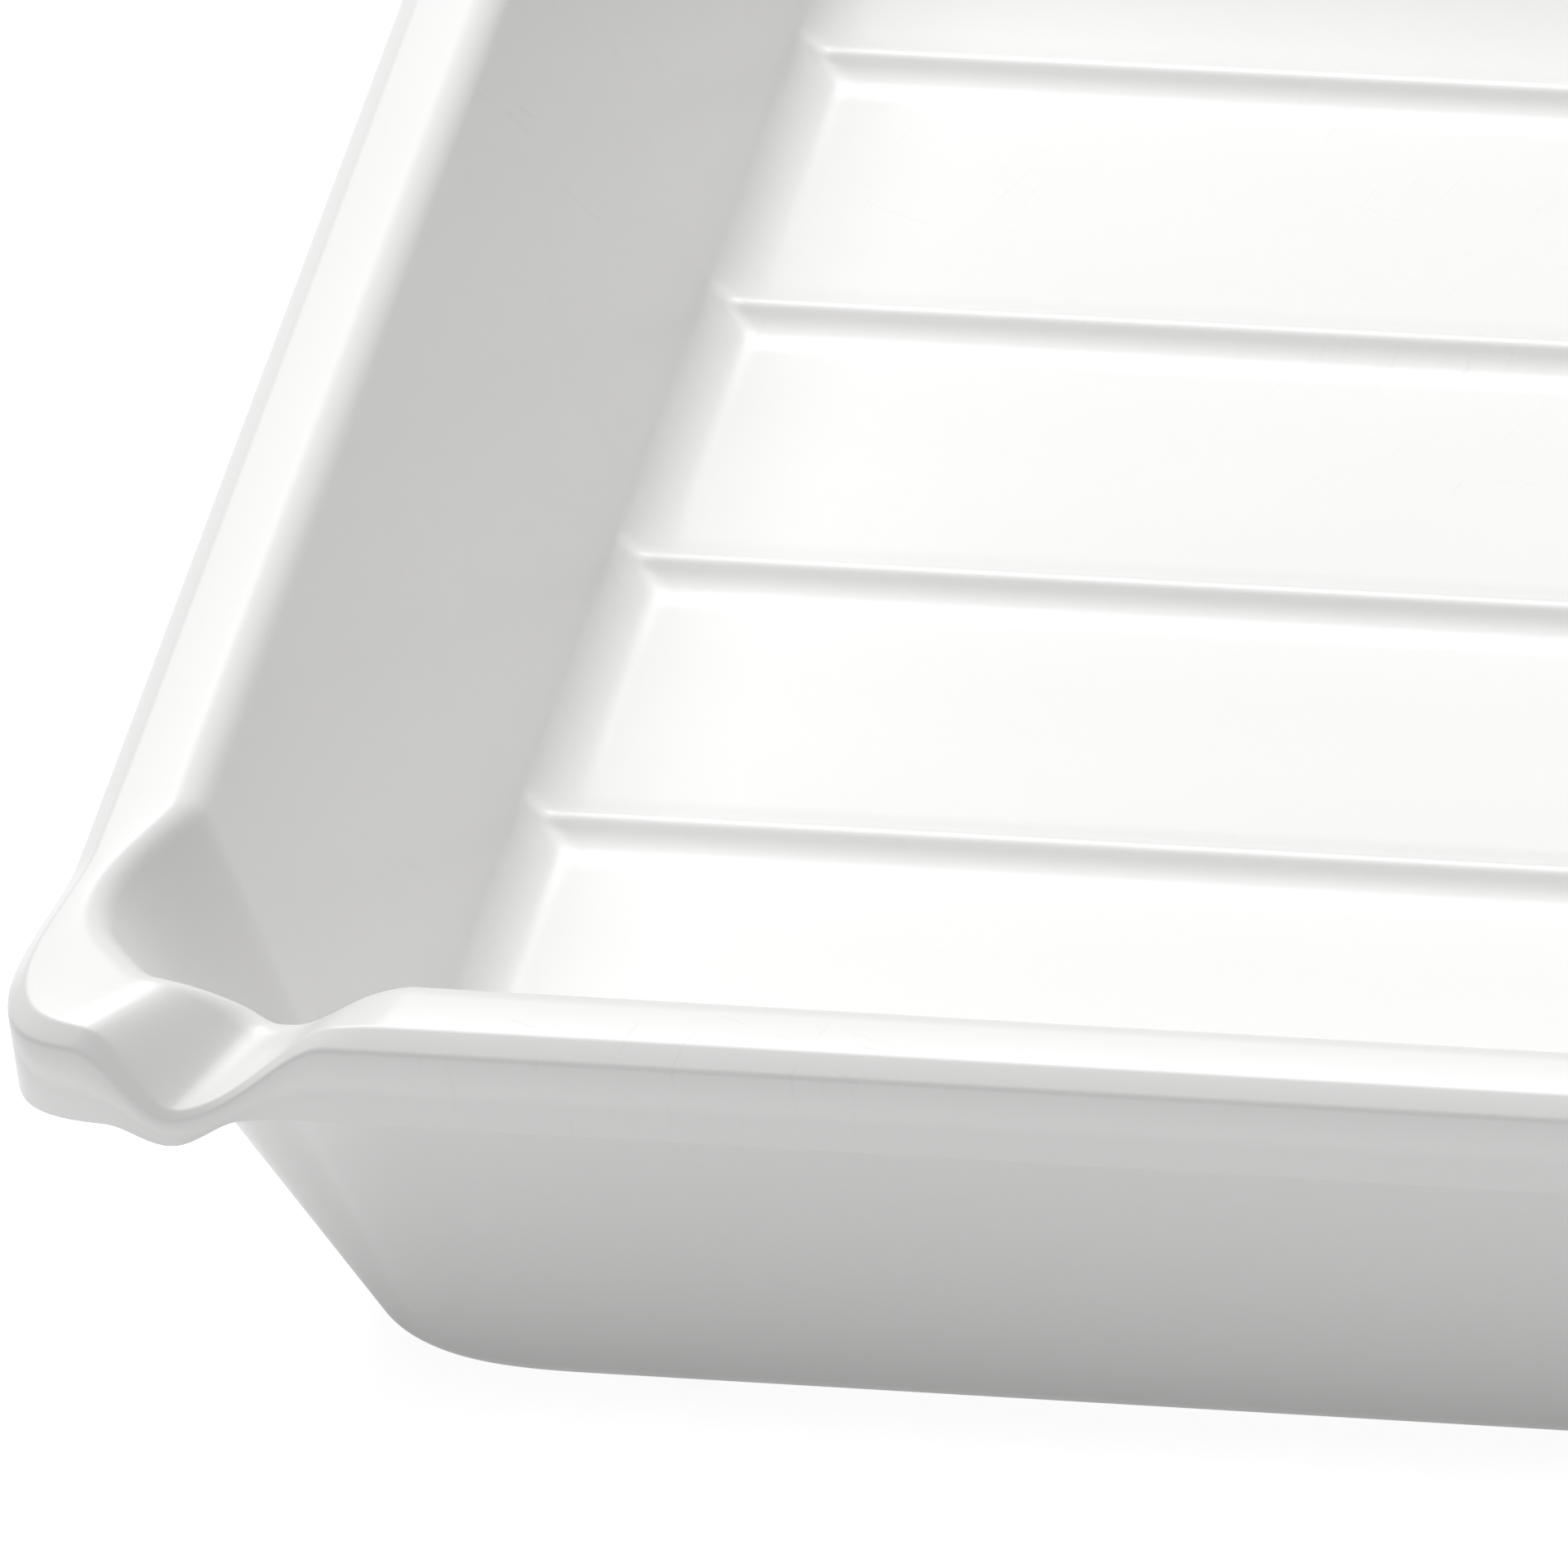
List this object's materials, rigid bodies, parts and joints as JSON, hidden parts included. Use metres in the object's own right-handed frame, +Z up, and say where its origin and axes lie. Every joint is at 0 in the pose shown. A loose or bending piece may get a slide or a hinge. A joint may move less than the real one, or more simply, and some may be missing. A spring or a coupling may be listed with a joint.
{
  "type": "tray",
  "caption": "Open rectangular moulded tray with sloping walls, a rolled flange rim with a skirt, floor ribs and a pouring spout in one corner.",
  "frame": {"origin": "middle of the resting face, under the floor", "axes": "+Z up out of the tray, +X along the long side, -Y toward the front side, with the pouring spout in the -X, -Y corner"},
  "size_m": [0.4476, 0.3579, 0.072],
  "materials": {
    "white_plastic": "semi-gloss moulded white plastic, smooth, faintly orange-peeled"
  },
  "bodies": {
    "root": {"floor_panel": "white_plastic", "floor_rib_1": "white_plastic", "floor_rib_2": "white_plastic", "floor_rib_3": "white_plastic", "floor_rib_4": "white_plastic", "floor_rib_5": "white_plastic", "front_right_rim": "white_plastic", "front_right_wall": "white_plastic", "front_rim": "white_plastic", "front_wall": "white_plastic", "left_rim": "white_plastic", "left_wall": "white_plastic", "pouring_spout": "white_plastic", "rear_left_rim": "white_plastic", "rear_left_wall": "white_plastic", "rear_right_rim": "white_plastic", "rear_right_wall": "white_plastic", "rear_rim": "white_plastic", "rear_wall": "white_plastic", "right_rim": "white_plastic", "right_wall": "white_plastic", "spout_wall": "white_plastic"}
  },
  "joints": []
}
